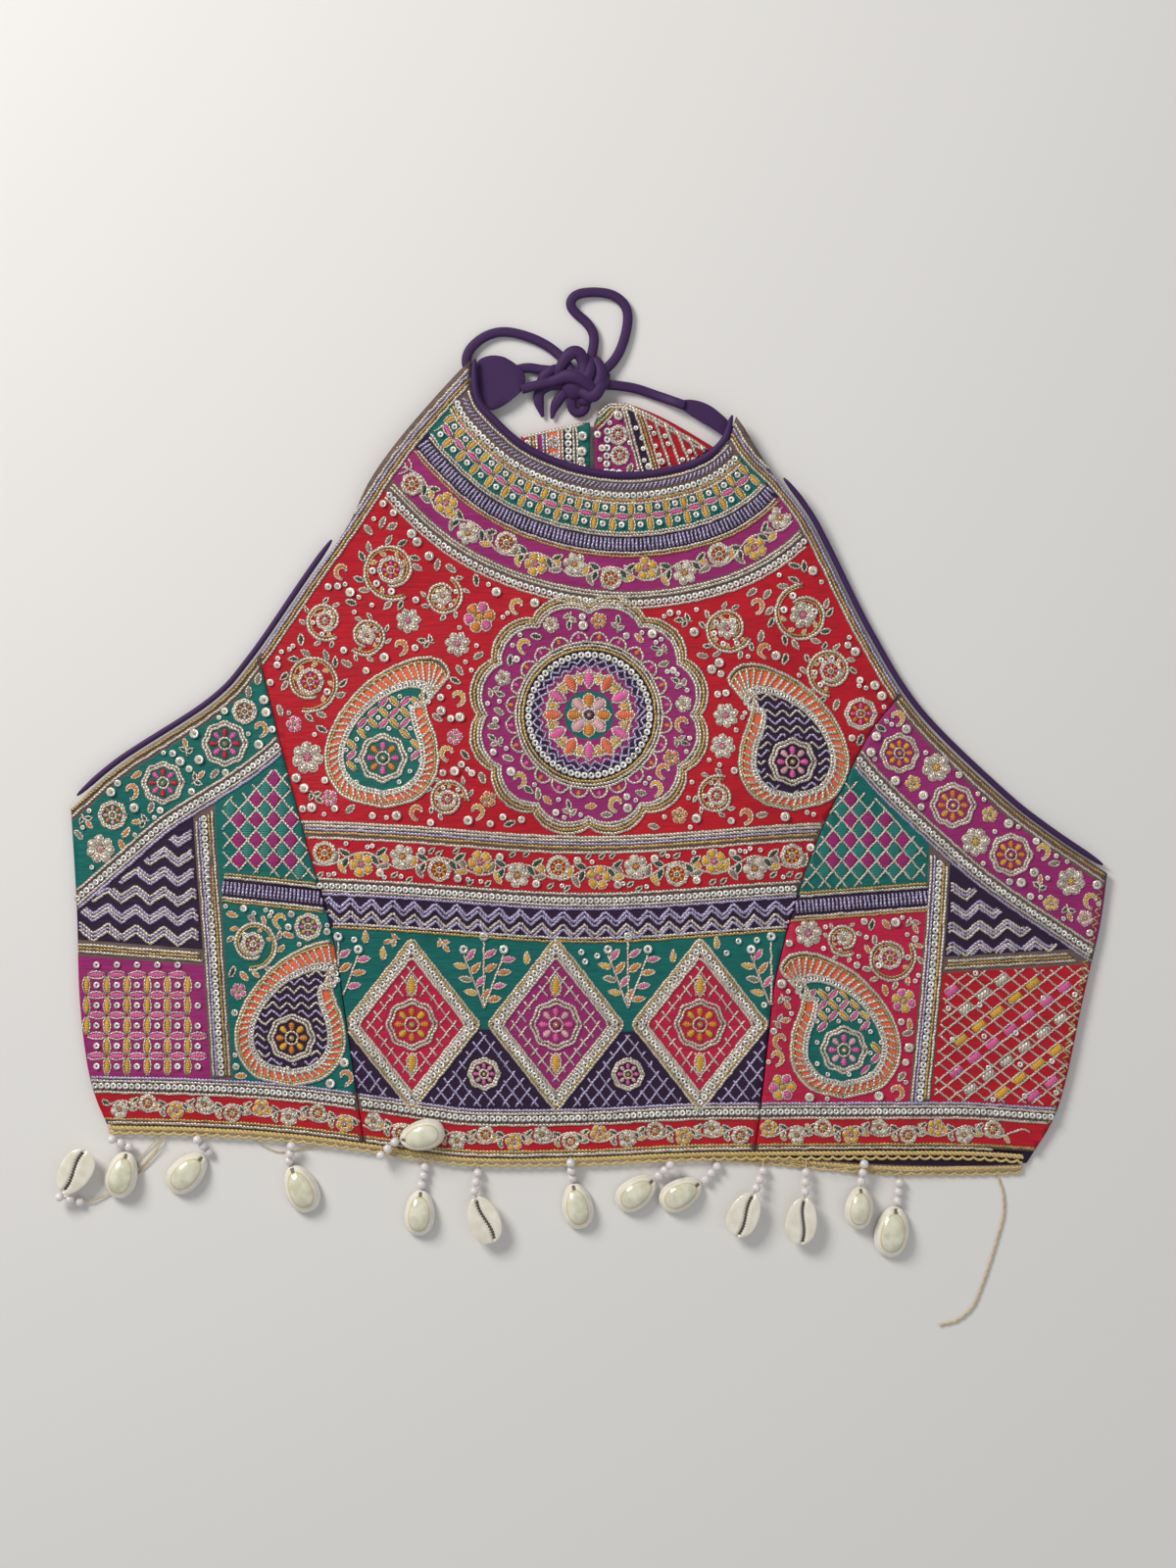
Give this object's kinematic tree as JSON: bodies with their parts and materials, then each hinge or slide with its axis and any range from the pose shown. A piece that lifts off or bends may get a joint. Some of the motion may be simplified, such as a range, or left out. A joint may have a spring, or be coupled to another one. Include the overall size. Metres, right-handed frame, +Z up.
{
  "type": "halterneck blouse",
  "caption": "Cropped sleeveless halterneck blouse laid flat, with princess seams, corded piping, a fabric tie at the nape, a scalloped hem braid and cowrie shell drops.",
  "frame": {"origin": "centre of the bounding box's base, without the tie and the thread tail, on the surface that the blouse lies on", "axes": "+Z up from the surface, +X to the right across the laid blouse as seen from above, +Y from the hem towards the neck"},
  "size_m": [0.4456, 0.4414, 0.0116],
  "materials": {
    "front_silk": "slub silk with metal thread embroidery, satin stitch and sequins",
    "back_silk": "slub silk with metal thread embroidery on the turned tops",
    "aubergine": "plain woven silk, matt, over a cord in the pipings and sewn as a tube in the tie",
    "braid": "twisted cotton and viscose braid, soft sheen",
    "pearl": "imitation pearl, smooth and glossy",
    "shell": "stands in for natural cowrie shell, smooth and glossy",
    "thread": "doubled cotton thread"
  },
  "bodies": {
    "root": {"armhole_piping_left": "aubergine", "armhole_piping_right": "aubergine", "back_left": "back_silk", "back_right": "back_silk", "cowrie_01": "shell", "cowrie_02": "shell", "cowrie_03": "shell", "cowrie_04": "shell", "cowrie_05": "shell", "cowrie_06": "shell", "cowrie_07": "shell", "cowrie_08": "shell", "cowrie_09": "shell", "cowrie_10": "shell", "cowrie_11": "shell", "cowrie_12": "shell", "cowrie_13": "shell", "cowrie_14": "shell", "front_centre": "front_silk", "front_side_left": "front_silk", "front_side_right": "front_silk", "hem_braid_back": "braid", "hem_braid_front": "braid", "neck_piping": "aubergine", "neck_tab_left": "aubergine", "neck_tab_right": "aubergine", "pearl_string_01": "pearl", "pearl_string_02": "pearl", "pearl_string_03": "pearl", "pearl_string_04": "pearl", "pearl_string_05": "pearl", "pearl_string_06": "pearl", "pearl_string_07": "pearl", "pearl_string_08": "pearl", "pearl_string_09": "pearl", "pearl_string_10": "pearl", "pearl_string_11": "pearl", "pearl_string_12": "pearl", "pearl_string_13": "pearl", "pearl_string_14": "pearl", "thread_tail": "thread", "tie_cord_left": "aubergine", "tie_cord_right": "aubergine", "tie_end_left": "aubergine", "tie_end_right": "aubergine", "tie_knot": "aubergine", "tie_loop_left": "aubergine", "tie_loop_lower": "aubergine", "tie_loop_upper": "aubergine"}
  },
  "joints": []
}
